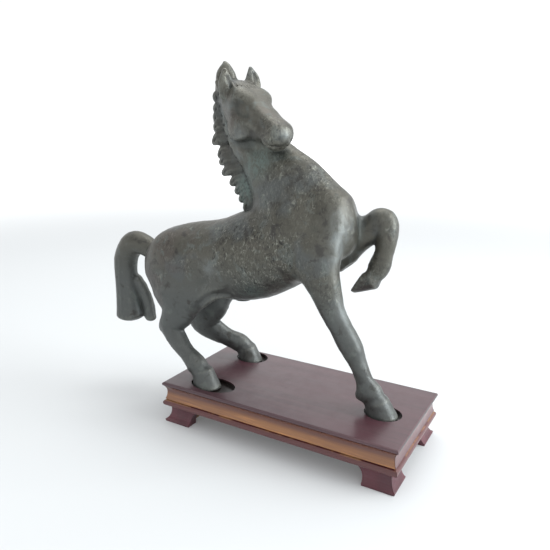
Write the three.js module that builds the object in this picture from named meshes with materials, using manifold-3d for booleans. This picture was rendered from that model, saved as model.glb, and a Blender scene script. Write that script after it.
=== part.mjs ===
// A bronze horse standing by three hooves in the sockets of a lacquered wooden stand.
// Millimetres, +Z up. The horse faces +X and its left is +Y; the stand is centred on X = Y = 0
// until the last line, which centres the whole statuette over the origin.
import * as THREE from 'three';
import { mergeVertices } from 'three/addons/utils/BufferGeometryUtils.js';
import Module from 'manifold-3d';

const wasm = await Module();
wasm.setup();

// ---- Driving dimensions ----

const standLength = 200;
const standWidth = 98;
const standHeight = 35;
const clearance = 0.3; // between pieces that touch on the real object

const footHeight = 12.3;
const railHeight = 7.3;
const coveHeight = 11.2;
const lipThickness = standHeight - footHeight - railHeight - coveHeight - 3 * clearance;
const railBottom = footHeight + clearance;
const coveBottom = railBottom + railHeight + clearance;
const lipBottom = standHeight - lipThickness;

const footLength = 25; // along the floor, from the corner
const footReach = 31; // where the foot meets the rail above it
const footThickness = 11.5;
const railDepth = 13;
const coveDepth = 11;

const socketDepth = 3.3;
const soleHeight = standHeight - socketDepth + clearance;

const bronzeWall = 5;
const coreHoleRadius = 7;
const corePlugX = -52;

// ---- Materials ----

const bronze = new THREE.MeshStandardMaterial({ color: 0x5c5c52, roughness: 0.45, metalness: 0.9 });
const darkWood = new THREE.MeshStandardMaterial({ color: 0x5a3438, roughness: 0.35, metalness: 0 });
const paleWood = new THREE.MeshStandardMaterial({ color: 0x96663f, roughness: 0.4, metalness: 0 });
const blockWood = new THREE.MeshStandardMaterial({ color: 0x8a6a4a, roughness: 0.8, metalness: 0 });
const steel = new THREE.MeshStandardMaterial({ color: 0x77736c, roughness: 0.5, metalness: 1 });

// ---- Solids ----

function toSolid(geometry) {
  const bare = geometry.clone();
  bare.deleteAttribute('normal');
  bare.deleteAttribute('uv');
  const merged = mergeVertices(bare, 1e-4);
  const corners = merged.index.array;
  const kept = [];
  for (let i = 0; i < corners.length; i += 3) {
    const [a, b, c] = corners.slice(i, i + 3);
    if (a !== b && b !== c && c !== a) kept.push(a, b, c);
  }
  return new wasm.Manifold(new wasm.Mesh({
    numProp: 3,
    vertProperties: new Float32Array(merged.attributes.position.array),
    triVerts: new Uint32Array(kept),
  }));
}

function toGeometry(solid) {
  const { vertProperties, triVerts } = solid.getMesh();
  const geometry = new THREE.BufferGeometry();
  geometry.setAttribute('position', new THREE.BufferAttribute(vertProperties, 3));
  geometry.setIndex(new THREE.BufferAttribute(triVerts, 1));
  geometry.computeVertexNormals();
  return geometry;
}

const joined = (geometries) => geometries.map(toSolid).reduce((whole, piece) => whole.add(piece));

function piece(name, geometry, material) {
  const mesh = new THREE.Mesh(geometry, material);
  mesh.name = name;
  return mesh;
}

function block(length, width, height, x, y, z) {
  return new THREE.BoxGeometry(length, width, height).translate(x, y, z);
}

// ---- Bronze forms ----

const acrossBody = new THREE.Vector3(0, 1, 0);

// A round-ended rod along Y, one unit high for each step of the limb it is bent into.
function rodProfile(steps, capRings) {
  const profile = [];
  for (let i = 0; i <= capRings; i += 1) {
    const angle = (i / capRings) * Math.PI / 2;
    profile.push(new THREE.Vector2(Math.sin(angle), -Math.cos(angle)));
  }
  for (let i = 1; i < steps; i += 1) profile.push(new THREE.Vector2(1, i));
  for (let i = capRings; i >= 0; i -= 1) {
    const angle = (i / capRings) * Math.PI / 2;
    profile.push(new THREE.Vector2(Math.sin(angle), steps + Math.cos(angle)));
  }
  return profile;
}

// A limb through stations [x, y, z, half width, half depth]: its width lies along "across".
function limb(stations, { across = acrossBody, sides = 12, spanSteps = 2, capRings = 3, capFullness = 1 } = {}) {
  const route = new THREE.CatmullRomCurve3(
    stations.map(([x, y, z]) => new THREE.Vector3(x, y, z)), false, 'catmullrom', 0.5);
  const girth = new THREE.CatmullRomCurve3(
    stations.map(([, , , width, depth]) => new THREE.Vector3(width, depth, 0)), false, 'catmullrom', 0.5);
  const steps = (stations.length - 1) * spanSteps;
  const geometry = new THREE.LatheGeometry(rodProfile(steps, capRings), sides);
  const position = geometry.attributes.position;
  const point = new THREE.Vector3();
  for (let i = 0; i < position.count; i += 1) {
    point.fromBufferAttribute(position, i);
    const step = THREE.MathUtils.clamp(point.y, 0, steps);
    const centre = route.getPoint(step / steps);
    const size = girth.getPoint(step / steps);
    const along = route.getTangent(step / steps);
    const wide = across.clone().addScaledVector(along, -across.dot(along)).normalize();
    const deep = wide.clone().cross(along);
    const capLength = Math.min(size.x, size.y) * capFullness;
    centre.addScaledVector(wide, point.x * size.x);
    centre.addScaledVector(deep, point.z * size.y);
    centre.addScaledVector(along, (point.y - step) * capLength);
    position.setXYZ(i, centre.x, centre.y, centre.z);
  }
  return geometry;
}

// An ellipsoid of half-axes "radii", its nose pitched up by "pitch" degrees.
function muscle([x, y, z], [long, wide, high], pitch = 0) {
  return new THREE.SphereGeometry(1, 16, 10)
    .scale(long, wide, high)
    .rotateY(-THREE.MathUtils.degToRad(pitch))
    .translate(x, y, z);
}

// ---- The horse's build: each row is x, y, z, half width, half depth ----

const trunk = [
  [-130, 0, 123, 21, 20], [-112, 0, 129, 25, 27.5], [-90, 0, 132, 27, 30], [-62, 0, 134, 31, 33.5],
  [-35, 0, 141, 32, 35.5], [-10, 0, 150, 29, 33.5], [12, 0, 160, 24, 29], [26, 0, 165, 16, 21],
];
const neck = [
  [1, 0, 166, 24, 40.5], [-9.5, 0, 189, 20, 33], [-26, 0, 210, 16, 23], [-41, 0, 231, 14, 19], [-52, 0, 250, 12.5, 16],
];
const rightForeleg = [
  [18, -17, 152, 13, 19], [28, -19, 131, 11, 13], [35.5, -18, 112, 8.7, 9.5], [42.5, -16, 98, 7.8, 8.6],
  [49, -13, 85, 8.2, 8.6], [55, -11, 71, 6.4, 6.8], [59.5, -9, 59, 6.1, 6.7], [63.5, -8, 50.5, 7.4, 9.6],
  [69, -7, 45, 6.8, 7],
];
const leftForeleg = [
  [20, 15, 148, 13, 17], [34, 16, 156, 11, 13], [46, 15, 164, 9.5, 10.5], [58, 15, 172.5, 9.3, 10.5],
  [61.5, 15, 163, 8.5, 8.5], [60.5, 15, 151, 6.8, 7.2], [57.5, 15, 140, 7.4, 8.4], [53.5, 15, 133, 6.8, 7],
];
const rightHindLeg = [
  [-112, -16, 124, 14, 28], [-104, -20, 106, 13, 25], [-102, -22, 90, 10, 17], [-110, -23, 75, 8, 10.5],
  [-100, -25, 65, 7, 8], [-89, -28, 56, 6.3, 6.8], [-78.5, -30, 49, 7.6, 8.6], [-73, -30, 44, 7, 7.2],
];
const leftHindLeg = [
  [-112, 16, 124, 14, 28], [-101, 18, 105, 13, 28], [-99, 17, 88, 11, 20], [-107, 16, 70, 9, 14.5],
  [-96, 20, 59.5, 7.8, 11], [-85, 25, 53, 6.8, 8.5], [-75, 30, 48, 7.6, 8.6], [-70, 32, 44, 7, 7.2],
];
const tail = [
  [-130, 0, 127, 8, 8], [-143, 0, 128, 7.5, 8], [-156, 0, 134.5, 9, 9.5], [-170, 0, 135, 10.5, 11],
  [-180, 0, 122, 10.5, 11], [-183.5, 0, 102, 9.5, 10], [-181, 0, 81, 10.5, 11.5], [-179.5, 0, 66, 12, 14],
];
const tailLock = [[-176, 2, 100, 5, 6], [-169, 4, 88, 5, 7.5], [-163, 5, 76, 5, 8], [-160, 5, 65, 4.5, 7.5]];

// Each hoof runs from its coronet to below its sole, which is then cut flat.
const rightForeHoof = [[69, -6.5, 43, 8.5, 9.5], [73.3, -5, 30, 10.5, 12]];
const rightHindHoof = [[-72, -30, 43, 8.5, 9.5], [-67, -31, 30, 10.5, 12.3]];
const leftHindHoof = [[-69.5, 32, 43, 8.5, 9], [-66, 33.5, 30, 10.5, 11]];
const raisedHoof = [[53, 15, 131, 8.5, 9.3], [38, 15, 127, 9.5, 10]];
const raisedSole = new THREE.Vector3(42, 15, 126.7);
const raisedSoleTilt = 57.8; // degrees from level

// ---- Head: turned to the horse's right and bowed, measured along, left and up from the poll ----

const poll = new THREE.Vector3(-56, 0, 257);
const headTurn = THREE.MathUtils.degToRad(22);
const headBow = THREE.MathUtils.degToRad(29);
const headPose = new THREE.Matrix4()
  .makeTranslation(poll)
  .multiply(new THREE.Matrix4().makeRotationZ(-headTurn))
  .multiply(new THREE.Matrix4().makeRotationY(headBow));

const skull = [
  [-7, 0, 0, 12, 12], [4, 0, 1, 14.5, 14.5], [18, 0, 0, 15.5, 15], [32, 0, 0.5, 12.3, 13.5], [45, 0, 2, 9.6, 11],
  [54, 0, 3.2, 9.2, 9.8], [59.5, 0, 3.8, 8, 8.5],
];
const ear = [[-1, 11, 5, 6, 4.5], [-6, 13.5, 13, 5.6, 3.8], [-12, 14, 21, 1.6, 1.6]];

function mirrored(stations) {
  return stations.map(([x, y, ...rest]) => [x, -y, ...rest]);
}

function headForms() {
  const forms = [limb(skull, { sides: 16 })];
  forms.push(muscle([58, 0, -3], [6.5, 6.5, 4.5]));
  for (const side of [-1, 1]) {
    forms.push(muscle([19, side * 7.5, -9], [13, 7.5, 12]));
    forms.push(muscle([19, side * 12, 8], [8, 4, 4.5]));
  }
  forms.push(limb(ear, { sides: 10 }), limb(mirrored(ear), { sides: 10 }));
  return forms.map((form) => form.applyMatrix4(headPose));
}

// ---- Mane: a comb of pointed locks down the crest ----

const maneThickness = 11;
const maneNotchDepth = 0.3; // of the way back to the crest
const crest = [[-62, 276], [-60, 262], [-56, 247], [-50, 230], [-43, 214], [-35, 198], [-28, 182]];
const lockTips = [
  [-67, 286], [-75, 262], [-75, 251], [-77, 240], [-77, 232], [-78, 223.5], [-71, 209], [-69, 200], [-61, 192],
  [-57, 185], [-52, 176],
];

function mane() {
  const crestLine = new THREE.SplineCurve(crest.map(([x, z]) => new THREE.Vector2(x, z)));
  const shape = new THREE.Shape();
  shape.moveTo(...crest[0]);
  lockTips.forEach(([x, z], i) => {
    shape.lineTo(x, z);
    if (i === lockTips.length - 1) return;
    const [nextX, nextZ] = lockTips[i + 1];
    const root = crestLine.getPoint((i + 1) / lockTips.length);
    const notchX = THREE.MathUtils.lerp((x + nextX) / 2, root.x, maneNotchDepth);
    const notchZ = THREE.MathUtils.lerp(z, nextZ, 0.6);
    shape.quadraticCurveTo((x + notchX) / 2 + 2, (z + notchZ) / 2, notchX, notchZ);
  });
  for (let i = crest.length - 1; i > 0; i -= 1) shape.lineTo(...crest[i]);
  const bevel = 2.5;
  return new THREE.ExtrudeGeometry(shape, {
    depth: maneThickness - 2 * bevel, curveSegments: 3,
    bevelEnabled: true, bevelThickness: bevel, bevelSize: 1, bevelOffset: -1, bevelSegments: 1,
  }).translate(0, 0, -maneThickness / 2 + bevel).rotateX(Math.PI / 2);
}

// ---- The casting and its core plug ----

function bodyForms() {
  const forms = [
    limb(trunk, { sides: 24 }),
    limb(neck, { sides: 20 }),
    muscle([26.5, -3, 171], [17.5, 15, 26], 14),
    limb(tail, { sides: 14, capFullness: 0.5 }),
    limb(tailLock, { sides: 8 }),
    mane(),
  ];
  for (const leg of [rightForeleg, leftForeleg, rightHindLeg, leftHindLeg]) forms.push(limb(leg));
  for (const hoof of [rightForeHoof, rightHindHoof, leftHindHoof, raisedHoof]) {
    forms.push(limb(hoof, { sides: 16, capRings: 2, capFullness: 0.6 }));
  }
  for (const side of [-1, 1]) {
    forms.push(muscle([-112, side * 12, 129.5], [27, 17, 24], 20));
    forms.push(muscle([4, side * 15, 158], [18, 13, 30], 25));
    forms.push(muscle([-84, side * 17, 114], [14, 11, 13]));
  }
  return forms;
}

// The hollow that the core leaves in the trunk and neck: their build less the wall.
function coreForms() {
  const thinned = (stations) => stations.map(([x, y, z, width, depth]) => [x, y, z, width - bronzeWall, depth - bronzeWall]);
  const shape = { sides: 14, capRings: 2, capFullness: 0.3 };
  return [limb(thinned(trunk.slice(1, -1)), shape), limb(thinned(neck.slice(0, -1)), shape)];
}

function bellyRod(radius, bottom, top) {
  return new THREE.CylinderGeometry(radius, radius, top - bottom, 20)
    .rotateX(Math.PI / 2)
    .translate(corePlugX, 0, (bottom + top) / 2);
}

function horse() {
  const belowSoles = block(300, 120, 20, -30, 0, soleHeight - 10);
  const underRaisedSole = block(38, 40, 12, -4, 0, 0)
    .translate(0, 0, 6)
    .rotateY(-THREE.MathUtils.degToRad(raisedSoleTilt))
    .translate(...raisedSole);
  const skin = joined([...bodyForms(), ...headForms()]);
  const core = joined(coreForms());
  const casting = skin
    .subtract(toSolid(belowSoles))
    .subtract(toSolid(underRaisedSole))
    .subtract(core)
    .subtract(toSolid(bellyRod(coreHoleRadius, 90, 140)));
  const plug = skin
    .subtract(core)
    .intersect(toSolid(bellyRod(coreHoleRadius - clearance, 90, 125)));
  const group = new THREE.Group();
  group.add(piece('horse_casting', toGeometry(casting), bronze));
  group.add(piece('core_plug', toGeometry(plug), bronze));
  return group;
}

// ---- The stand ----

// The four sides, as turns of the rail that runs along X on the horse's right.
const sides = [
  { name: 'right', turn: 0, length: standLength, reach: standWidth / 2 },
  { name: 'front', turn: 1, length: standWidth, reach: standLength / 2 },
  { name: 'left', turn: 2, length: standLength, reach: standWidth / 2 },
  { name: 'rear', turn: 3, length: standWidth, reach: standLength / 2 },
];

// A profile (distance in from the edge, height) swept along one side from "start" to "end" and
// mitred at each end whose mitre is set.
function sideSweep(profile, { length, reach, turn }, start, end, mitres) {
  const geometry = new THREE.ExtrudeGeometry(profile, { depth: end - start, bevelEnabled: false, curveSegments: 6 });
  const position = geometry.attributes.position;
  for (let i = 0; i < position.count; i += 1) {
    const inward = position.getX(i);
    const atEnd = position.getZ(i) > (end - start) / 2;
    const mitre = atEnd ? -mitres.end : mitres.start;
    const alongSide = start + position.getZ(i) - length / 2 + mitre * (inward + clearance / Math.SQRT2);
    position.setXYZ(i, alongSide, inward - reach, position.getY(i));
  }
  return geometry.rotateZ((turn * Math.PI) / 2);
}

function mitredRail(profile, side) {
  return sideSweep(profile, side, 0, side.length, { start: 1, end: 1 });
}

function coveProfile() {
  const shape = new THREE.Shape();
  const top = lipBottom - clearance;
  shape.moveTo(coveDepth, coveBottom);
  shape.lineTo(coveDepth, top);
  shape.lineTo(1.2, top);
  shape.quadraticCurveTo(2.9, top - 2, 2.9, top - 4.5);
  shape.quadraticCurveTo(2.9, coveBottom + 2.5, 1.6, coveBottom);
  return shape;
}

function railProfile() {
  const beadRadius = 2.6;
  const beadHeight = railBottom + railHeight - beadRadius - 0.6;
  const shape = new THREE.Shape();
  shape.moveTo(railDepth, railBottom);
  shape.lineTo(railDepth, railBottom + railHeight);
  shape.lineTo(beadRadius, railBottom + railHeight);
  shape.lineTo(beadRadius, beadHeight + beadRadius);
  shape.absarc(beadRadius, beadHeight, beadRadius, Math.PI / 2, Math.PI * 1.5, false);
  shape.lineTo(4, beadHeight - beadRadius);
  shape.lineTo(4, railBottom);
  return shape;
}

function footProfile() {
  const shape = new THREE.Shape();
  shape.moveTo(footThickness, 0);
  shape.lineTo(footThickness, footHeight);
  shape.lineTo(5, footHeight);
  shape.quadraticCurveTo(5.6, 4, 1, 1.6);
  shape.lineTo(1.4, 0);
  return shape;
}

// A bracket foot's front outline: level under the corner, swept up to the rail at its inner end.
function footOutline(length, hand) {
  const corner = -hand * length / 2;
  const shape = new THREE.Shape();
  shape.moveTo(corner - hand * 10, -1);
  shape.lineTo(corner + hand * footLength, -1);
  shape.lineTo(corner + hand * footLength, 1);
  shape.quadraticCurveTo(corner + hand * footLength, 10, corner + hand * footReach, footHeight + 1);
  shape.lineTo(corner - hand * 10, footHeight + 1);
  return shape;
}

function bracketFoot(side, hand) {
  const start = hand > 0 ? 0 : side.length - footReach;
  const mitres = { start: hand > 0 ? 1 : 0, end: hand > 0 ? 0 : 1 };
  const sweep = sideSweep(footProfile(), { ...side, turn: 0 }, start, start + footReach, mitres);
  const outline = new THREE.ExtrudeGeometry(footOutline(side.length, hand), {
    depth: 2 * footThickness, bevelEnabled: false, curveSegments: 6,
  }).rotateX(Math.PI / 2).translate(0, -side.reach + 1.5 * footThickness, 0);
  return toGeometry(toSolid(sweep).intersect(toSolid(outline))).rotateZ((side.turn * Math.PI) / 2);
}

// A hoof's socket: an upright oval cut into the top panel.
function socket({ x, y, halfLength, halfWidth }) {
  const oval = new THREE.Shape();
  oval.absellipse(0, 0, halfLength, halfWidth, 0, 2 * Math.PI);
  return new THREE.ExtrudeGeometry(oval, { depth: 2 * socketDepth, bevelEnabled: false, curveSegments: 32 })
    .translate(x, y, standHeight - socketDepth);
}

const sockets = [
  { x: 73.5, y: -5.2, halfLength: 14.2, halfWidth: 12.3 },
  { x: -61.5, y: -31, halfLength: 20, halfWidth: 12.3 },
  { x: -64.5, y: 33.5, halfLength: 14.5, halfWidth: 12.3 },
];

function topPanel() {
  const edge = lipThickness / 2 - 0.05;
  const plan = new THREE.Shape();
  plan.moveTo(-standLength / 2, -standWidth / 2);
  plan.lineTo(standLength / 2, -standWidth / 2);
  plan.lineTo(standLength / 2, standWidth / 2);
  plan.lineTo(-standLength / 2, standWidth / 2);
  const lip = new THREE.ExtrudeGeometry(plan, {
    depth: 0.1, bevelEnabled: true, bevelThickness: edge, bevelSize: edge, bevelOffset: -edge, bevelSegments: 4,
  }).translate(0, 0, lipBottom + edge);
  const inset = 2 * (coveDepth + clearance);
  const field = block(standLength - inset, standWidth - inset, 6, 0, 0, lipBottom - 2);
  const holes = [...sockets.map(socket), ...screwPlaces().map(screwHole)];
  return holes.reduce((panel, hole) => panel.subtract(toSolid(hole)), joined([lip, field]));
}

// Corner braces under the panel and glue blocks behind the feet, one of each in every corner.
const corners = [
  { name: 'right_rear', x: -1, y: -1 },
  { name: 'right_front', x: 1, y: -1 },
  { name: 'left_front', x: 1, y: 1 },
  { name: 'left_rear', x: -1, y: 1 },
];
const glueBlockSize = 10;
const braceSize = 16;
const panelUnderside = lipBottom - 5;

function cornerBlock({ x, y }, inset, size, bottom, top) {
  return block(size, size, top - bottom,
    x * (standLength / 2 - inset - size / 2), y * (standWidth / 2 - inset - size / 2), (bottom + top) / 2);
}

const screwRadius = 1.2;
const screwHeadRadius = 2.4;
const screwHeadHeight = 1.2;

function screwPlaces() {
  return corners.map(({ name, x, y }) => ({
    name,
    x: x * (standLength / 2 - coveDepth - clearance - braceSize / 2 - 2),
    y: y * (standWidth / 2 - coveDepth - clearance - braceSize / 2 - 2),
  }));
}

function screwHole({ x, y }) {
  const radius = screwRadius + clearance;
  const height = 16;
  return new THREE.CylinderGeometry(radius, radius, height, 12)
    .rotateX(Math.PI / 2)
    .translate(x, y, panelUnderside + 3.5 - height / 2);
}

function screw({ x, y }) {
  const top = panelUnderside + 3;
  const headTop = coveBottom - clearance;
  const profile = [
    [0, headTop - screwHeadHeight], [screwHeadRadius, headTop - screwHeadHeight], [screwHeadRadius, headTop],
    [screwRadius, headTop], [screwRadius, top - 1.5], [0, top],
  ].map(([radius, height]) => new THREE.Vector2(radius, height));
  return new THREE.LatheGeometry(profile, 12).rotateX(Math.PI / 2).translate(x, y, 0);
}

// Brads driven up through the rails into the coves: two on each long side, one on each end.
const bradRadius = 0.8;
const bradInset = 7.5;
const bradBottom = railBottom + 1;
const bradTop = coveBottom + 7;

function bradPlaces() {
  return sides.flatMap((side) => {
    const offsets = side.length > standWidth ? [-side.length / 5, side.length / 5] : [0];
    return offsets.map((offset, i) => {
      const place = new THREE.Vector3(offset, bradInset - side.reach, 0);
      place.applyAxisAngle(new THREE.Vector3(0, 0, 1), (side.turn * Math.PI) / 2);
      return { name: offsets.length > 1 ? `${side.name}_${i + 1}` : side.name, side: side.name, x: place.x, y: place.y };
    });
  });
}

function bradRod({ x, y }, radius, bottom, top) {
  return new THREE.CylinderGeometry(radius, radius, top - bottom, 8)
    .rotateX(Math.PI / 2)
    .translate(x, y, (bottom + top) / 2);
}

function bored(geometry, sideName) {
  const holes = bradPlaces().filter((place) => place.side === sideName)
    .map((place) => bradRod(place, bradRadius + clearance, railBottom - 1, bradTop + clearance));
  return toGeometry(holes.reduce((solid, hole) => solid.subtract(toSolid(hole)), toSolid(geometry)));
}

function stand() {
  const group = new THREE.Group();
  group.add(piece('top_panel', toGeometry(topPanel()), darkWood));
  for (const side of sides) {
    group.add(piece(`${side.name}_cove`, bored(mitredRail(coveProfile(), side), side.name), paleWood));
    group.add(piece(`${side.name}_base_rail`, bored(mitredRail(railProfile(), side), side.name), darkWood));
    group.add(piece(`${side.name}_bracket_1`, bracketFoot(side, 1), darkWood));
    group.add(piece(`${side.name}_bracket_2`, bracketFoot(side, -1), darkWood));
  }
  for (const corner of corners) {
    const behindFeet = footThickness + clearance;
    const insideCoves = coveDepth + clearance;
    const glueBlock = cornerBlock(corner, behindFeet, glueBlockSize, 1, footHeight);
    const brace = cornerBlock(corner, insideCoves, braceSize, coveBottom, panelUnderside - clearance);
    const place = screwPlaces().find(({ name }) => name === corner.name);
    group.add(piece(`${corner.name}_glue_block`, glueBlock, blockWood));
    group.add(piece(`${corner.name}_brace`, toGeometry(toSolid(brace).subtract(toSolid(screwHole(place)))), blockWood));
    group.add(piece(`${corner.name}_screw`, screw(place), steel));
  }
  for (const place of bradPlaces()) {
    group.add(piece(`brad_${place.name}`, bradRod(place, bradRadius, bradBottom, bradTop), steel));
  }
  return group;
}

// ---- The whole, centred over the origin ----

const statuette = new THREE.Group();
statuette.add(stand(), horse());
const middle = new THREE.Box3().setFromObject(statuette).getCenter(new THREE.Vector3());
statuette.position.set(-middle.x, -middle.y, 0);

export default statuette;
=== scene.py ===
"""A patinated bronze horse standing in the hoof sockets of a lacquered wooden stand.

The stand's pieces are the frame's own, with rounded edges and wood materials. The horse and its core
plug are modelled here: the horse is built up like clay on a grid of distances, in millimetres from the
middle of the stand, and then turned into one mesh in metres in the frame's place.
"""
import math

import bpy
import numpy as np
from mathutils import Matrix, Vector


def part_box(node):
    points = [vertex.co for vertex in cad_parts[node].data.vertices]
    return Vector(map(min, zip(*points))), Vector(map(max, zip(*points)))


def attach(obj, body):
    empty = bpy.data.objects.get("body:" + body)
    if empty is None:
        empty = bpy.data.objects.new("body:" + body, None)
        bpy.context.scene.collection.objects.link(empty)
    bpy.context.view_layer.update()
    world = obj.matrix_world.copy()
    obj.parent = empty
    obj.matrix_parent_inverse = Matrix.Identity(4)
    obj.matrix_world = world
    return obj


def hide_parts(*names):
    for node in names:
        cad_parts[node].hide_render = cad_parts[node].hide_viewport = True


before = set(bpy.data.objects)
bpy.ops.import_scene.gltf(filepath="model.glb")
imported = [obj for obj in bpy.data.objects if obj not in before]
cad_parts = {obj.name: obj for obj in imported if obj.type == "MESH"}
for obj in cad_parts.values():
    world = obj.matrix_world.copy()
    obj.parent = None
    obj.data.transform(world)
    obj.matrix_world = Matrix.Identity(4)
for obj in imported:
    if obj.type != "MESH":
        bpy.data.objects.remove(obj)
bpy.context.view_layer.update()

MM = 0.001
SEED = 7
VOXEL = 0.8
MOST_TRIANGLES = 190_000
UP = (0, 0, 1)
DOWN = (0, 0, -1)
CORNERS = [(i, j, k) for i in (0, 1) for j in (0, 1) for k in (0, 1)]
OUTSIDE = 1e3

panel_low, panel_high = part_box("top_panel")
stand_middle = (panel_low + panel_high) / 2
sole_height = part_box("horse_casting")[0].z / MM


# ---- Clay: a grid of distances that limbs and balls are blended into ----

def unit(vector):
    vector = np.asarray(vector, float)
    return vector / max(np.linalg.norm(vector), 1e-9)


def blend(a, b, softness):
    """The lesser of two distances, with a fillet of about that softness where they meet."""
    share = np.clip(0.5 + 0.5 * (b - a) / softness, 0, 1)
    return b + (a - b) * share - softness * share * (1 - share)


def spline(stations, steps):
    """A Catmull-Rom run of rows through the stations, so many steps a span."""
    rows = np.asarray(stations, float)
    rows = np.vstack([2 * rows[0] - rows[1], rows, 2 * rows[-1] - rows[-2]])
    run = []
    for before, start, end, after in zip(rows[:-3], rows[1:-2], rows[2:-1], rows[3:]):
        for t in np.arange(steps) / steps:
            run.append(0.5 * (2 * start + (end - before) * t
                              + (2 * before - 5 * start + 4 * end - after) * t ** 2
                              + (3 * start - before - 3 * end + after) * t ** 3))
    return np.array(run + [rows[-2]])


def oval_distance(offsets, radii):
    """Distance to an ellipsoid's surface, given the offsets from its centre along its axes."""
    inner = np.sqrt(sum((o / r) ** 2 for o, r in zip(offsets, radii))) + 1e-6
    outer = np.sqrt(sum((o / r ** 2) ** 2 for o, r in zip(offsets, radii))) + 1e-6
    return inner * (inner - 1) / outer


class Clay:
    """A grid of distances to a surface, less than 0 inside it, in mm."""

    def __init__(self, low, high, voxel):
        self.low = np.array(low, float)
        self.voxel = float(voxel)
        self.shape = np.ceil((np.array(high, float) - self.low) / voxel).astype(int) + 1
        self.grid = np.full(self.shape, OUTSIDE, np.float32)
        self.axes = [(self.low[i] + voxel * np.arange(self.shape[i])).astype(np.float32) for i in range(3)]

    def window(self, low, high):
        """The slices and coordinates of the part of the grid inside a box."""
        first = np.maximum(np.floor((np.asarray(low) - self.low) / self.voxel).astype(int), 0)
        last = np.minimum(np.ceil((np.asarray(high) - self.low) / self.voxel).astype(int) + 1, self.shape)
        last = np.maximum(last, first)
        cut = tuple(slice(a, b) for a, b in zip(first, last))
        x, y, z = (axis[s] for axis, s in zip(self.axes, cut))
        return cut, (x[:, None, None], y[None, :, None], z[None, None, :])

    def margin(self, softness):
        """How far beyond a shape its blend with that softness can be felt."""
        return softness * 1.3 + 2 * self.voxel + 2

    def merge(self, cut, distance, softness, carve):
        if carve:
            self.grid[cut] = -blend(-self.grid[cut], distance, softness)
        else:
            self.grid[cut] = blend(self.grid[cut], distance, softness)

    def ball(self, centre, radii, softness=6, tip=0, axes=None, carve=False):
        """An ellipsoid, its nose tipped up by so many degrees, or along the given axes."""
        centre = np.array(centre, float)
        if axes is None:
            c, s = math.cos(math.radians(tip)), math.sin(math.radians(tip))
            axes = np.array([[c, 0, s], [0, 1, 0], [-s, 0, c]])
        reach = max(radii) + self.margin(softness)
        cut, grid = self.window(centre - reach, centre + reach)
        away = [g - c for g, c in zip(grid, centre)]
        offsets = [sum(a * d for a, d in zip(axis, away)) for axis in axes]
        self.merge(cut, oval_distance(offsets, radii).astype(np.float32), softness, carve)

    def limb(self, stations, softness=6, across=(0, 1, 0), steps=8, cap=1.0, carve=False):
        """A limb through stations of x, y, z, half width and half depth; its width lies along across."""
        rows = spline(stations, steps)
        reach = rows[:, 3:5].max() + self.margin(softness)
        low = (rows[:, :3] - reach).min(0)
        whole, grid = self.window(low, (rows[:, :3] + reach).max(0))
        distance = np.full([s.stop - s.start for s in whole], OUTSIDE, np.float32)
        corner = np.array([g.flat[0] if g.size else 0 for g in grid])
        for start, end in zip(rows[:-1], rows[1:]):
            self._segment(distance, corner, grid, start, end, softness, across, cap)
        self.merge(whole, distance, softness, carve)

    def _segment(self, distance, corner, grid, start, end, softness, across, cap):
        """The stretch of a limb between two rows, into distance, whose first node is at corner."""
        a, b = start[:3], end[:3]
        run = b - a
        length2 = float(run @ run)
        if length2 < 1e-9:
            return
        reach = max(start[3:5].max(), end[3:5].max()) + self.margin(softness)
        first = np.floor((np.minimum(a, b) - reach - corner) / self.voxel).astype(int)
        last = np.ceil((np.maximum(a, b) + reach - corner) / self.voxel).astype(int) + 1
        first = np.maximum(first, 0)
        last = np.maximum(np.minimum(last, distance.shape), first)
        if np.any(last <= first):
            return
        near = tuple(slice(p, q) for p, q in zip(first, last))
        away = [grid[0][near[0]] - a[0], grid[1][:, near[1]] - a[1], grid[2][:, :, near[2]] - a[2]]
        along = unit(run)
        wide = unit(np.asarray(across, float) - (np.asarray(across, float) @ along) * along)
        deep = np.cross(along, wide)
        share = np.clip(sum(d * r for d, r in zip(away, run)) / length2, 0, 1)
        rest = [d - share * r for d, r in zip(away, run)]
        offsets = [sum(d * v for d, v in zip(rest, axis)) for axis in (wide, deep, along)]
        half_width = start[3] + (end[3] - start[3]) * share
        half_depth = start[4] + (end[4] - start[4]) * share
        radii = (half_width, half_depth, np.minimum(half_width, half_depth) * cap)
        found = oval_distance(offsets, radii).astype(np.float32)
        distance[near] = np.minimum(distance[near], found)

    def shave(self, point, normal, reach, softness=0.6):
        """Cuts off what lies beyond a plane through point, within reach of it."""
        point = np.array(point, float)
        cut, grid = self.window(point - reach, point + reach)
        away = [g - p for g, p in zip(grid, point)]
        beyond = sum(d * n for d, n in zip(away, unit(normal)))
        round_it = np.sqrt(sum(d * d for d in away)) - reach * 0.9
        self.grid[cut] = -blend(-self.grid[cut], np.maximum(-beyond, round_it).astype(np.float32), softness)

    def smooth(self, times):
        self.grid = smoothed(self.grid, times)

    def mesh(self):
        """Vertices in millimetres and quads of the clay's surface, by surface nets."""
        inside = self.grid < 0
        cells = self.shape - 1
        count = np.zeros(cells, np.int8)
        for i, j, k in CORNERS:
            count += inside[i:cells[0] + i, j:cells[1] + j, k:cells[2] + k]
        crossed = (count > 0) & (count < 8)
        cell = np.argwhere(crossed)
        number = np.full(cells, -1, np.int64)
        number[crossed] = np.arange(len(cell))
        value = {c: self.grid[tuple((cell + c).T)] for c in CORNERS}
        total = np.zeros((len(cell), 3))
        hits = np.zeros(len(cell))
        for a in CORNERS:
            for axis in range(3):
                if a[axis]:
                    continue
                b = tuple(1 if i == axis else a[i] for i in range(3))
                crosses = (value[a] < 0) != (value[b] < 0)
                share = np.where(crosses, value[a] / np.where(crosses, value[a] - value[b], 1), 0)
                point = np.tile(np.array(a, float), (len(cell), 1))
                point[:, axis] += share
                total += point * crosses[:, None]
                hits += crosses
        vertices = (cell + total / hits[:, None]) * self.voxel + self.low
        return vertices, np.vstack([self._quads(axis, inside, number) for axis in range(3)])

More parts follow.
